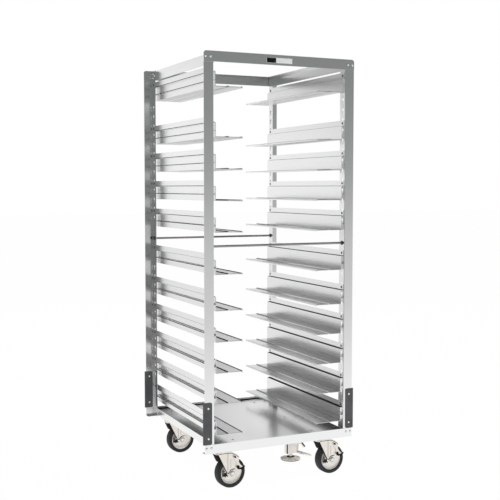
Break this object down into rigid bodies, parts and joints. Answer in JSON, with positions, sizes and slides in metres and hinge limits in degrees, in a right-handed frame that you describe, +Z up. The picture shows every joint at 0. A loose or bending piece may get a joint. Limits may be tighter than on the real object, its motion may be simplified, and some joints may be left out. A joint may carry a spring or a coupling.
{
  "type": "roll-in rack",
  "caption": "Open stainless roll-in rack with beaded tray slides between slotted uprights, a solid deck, swivel casters, corner bumpers and a pedal floor lock.",
  "frame": {"origin": "on the floor under the middle of the frame's footprint", "axes": "+X to the right along the front, +Y from the front to the back, +Z up"},
  "size_m": [0.7, 0.7388, 1.786],
  "materials": {
    "frame_sheet": "satin stainless",
    "slide_sheet": "satin stainless",
    "deck_sheet": "half-bright stainless",
    "fastener": "plain zinc",
    "zinc_plate": "yellow zinc",
    "wheel_disc": "satin",
    "bumper": "matte",
    "tyre": "matte"
  },
  "bodies": {
    "rack": {"post_front_left": "frame_sheet", "post_front_right": "frame_sheet", "top_rail_front": "frame_sheet", "base_rail_front": "frame_sheet", "post_rear_left": "frame_sheet", "post_rear_right": "frame_sheet", "top_rail_rear": "frame_sheet", "base_rail_rear": "frame_sheet", "top_side_rail_left": "frame_sheet", "base_side_rail_left": "frame_sheet", "top_side_rail_right": "frame_sheet", "base_side_rail_right": "frame_sheet", "deck": "deck_sheet", "cross_channels": "deck_sheet", "slide_pair_01": "slide_sheet", "slide_pair_02": "slide_sheet", "slide_pair_03": "slide_sheet", "slide_pair_04": "slide_sheet", "slide_pair_05": "slide_sheet", "slide_pair_06": "slide_sheet", "slide_pair_07": "slide_sheet", "slide_pair_08": "slide_sheet", "slide_pair_09": "slide_sheet", "slide_pair_10": "slide_sheet", "slide_pair_11": "slide_sheet", "slide_screws": "fastener", "frame_rivets": "fastener", "tie_rods": "fastener", "rod_nuts": "fastener", "corner_bumpers": "bumper", "bumper_rivets": "fastener", "caster_plates": "zinc_plate", "plate_bolts": "fastener", "lock_housing": "zinc_plate"},
    "caster_front_left": {"fork_front_left": "zinc_plate", "axle_front_left": "fastener"},
    "road_wheel_front_left": {"wheel_front_left": "wheel_disc", "tyre_front_left": "tyre"},
    "caster_front_right": {"fork_front_right": "zinc_plate", "axle_front_right": "fastener"},
    "road_wheel_front_right": {"wheel_front_right": "wheel_disc", "tyre_front_right": "tyre"},
    "caster_rear_left": {"fork_rear_left": "zinc_plate", "axle_rear_left": "fastener"},
    "road_wheel_rear_left": {"wheel_rear_left": "wheel_disc", "tyre_rear_left": "tyre"},
    "caster_rear_right": {"fork_rear_right": "zinc_plate", "axle_rear_right": "fastener"},
    "road_wheel_rear_right": {"wheel_rear_right": "wheel_disc", "tyre_rear_right": "tyre"},
    "brake_front_left": {"brake_lever_front_left": "zinc_plate"},
    "brake_front_right": {"brake_lever_front_right": "zinc_plate"},
    "lock_plunger": {"lock_stem": "fastener", "lock_pad": "tyre"},
    "lock_foot_lever": {"lock_pedal": "zinc_plate"}
  },
  "joints": [
    {"name": "swivel_front_left", "type": "hinge", "parent": "rack", "child": "caster_front_left", "pos_m": [-0.238, -0.2905, 0.154], "axis": [0, 0, 1], "continuous": true},
    {"name": "spin_front_left", "type": "hinge", "parent": "caster_front_left", "child": "road_wheel_front_left", "pos_m": [-0.20007, -0.28818, 0.0643], "axis": [-0.061, 0.9981, 0], "continuous": true},
    {"name": "swivel_front_right", "type": "hinge", "parent": "rack", "child": "caster_front_right", "pos_m": [0.238, -0.2905, 0.154], "axis": [0, 0, 1], "continuous": true},
    {"name": "spin_front_right", "type": "hinge", "parent": "caster_front_right", "child": "road_wheel_front_right", "pos_m": [0.27593, -0.28818, 0.0643], "axis": [-0.061, 0.9981, 0], "continuous": true},
    {"name": "swivel_rear_left", "type": "hinge", "parent": "rack", "child": "caster_rear_left", "pos_m": [-0.238, 0.2905, 0.154], "axis": [0, 0, 1], "continuous": true},
    {"name": "spin_rear_left", "type": "hinge", "parent": "caster_rear_left", "child": "road_wheel_rear_left", "pos_m": [-0.20007, 0.29282, 0.0643], "axis": [-0.061, 0.9981, 0], "continuous": true},
    {"name": "swivel_rear_right", "type": "hinge", "parent": "rack", "child": "caster_rear_right", "pos_m": [0.238, 0.2905, 0.154], "axis": [0, 0, 1], "continuous": true},
    {"name": "spin_rear_right", "type": "hinge", "parent": "caster_rear_right", "child": "road_wheel_rear_right", "pos_m": [0.27593, 0.29282, 0.0643], "axis": [-0.061, 0.9981, 0], "continuous": true},
    {"name": "brake_front_left", "type": "hinge", "parent": "caster_front_left", "child": "brake_front_left", "pos_m": [-0.18909, -0.28751, 0.132], "axis": [-0.061, 0.9981, 0], "range_deg": [0, 12]},
    {"name": "brake_front_right", "type": "hinge", "parent": "caster_front_right", "child": "brake_front_right", "pos_m": [0.28691, -0.28751, 0.132], "axis": [-0.061, 0.9981, 0], "range_deg": [0, 12]},
    {"name": "lock_lift", "type": "slide", "parent": "rack", "child": "lock_plunger", "axis": [0, 0, 1], "range_m": [0, 0.014]},
    {"name": "lock_pedal_turn", "type": "hinge", "parent": "rack", "child": "lock_foot_lever", "pos_m": [0.256, -0.0365, 0.078], "axis": [0, -1, 0], "range_deg": [0, 34]}
  ],
  "couplings": [
    {"joint": "lock_pedal_turn", "follows": "lock_lift", "rad_per_m": 40}
  ]
}
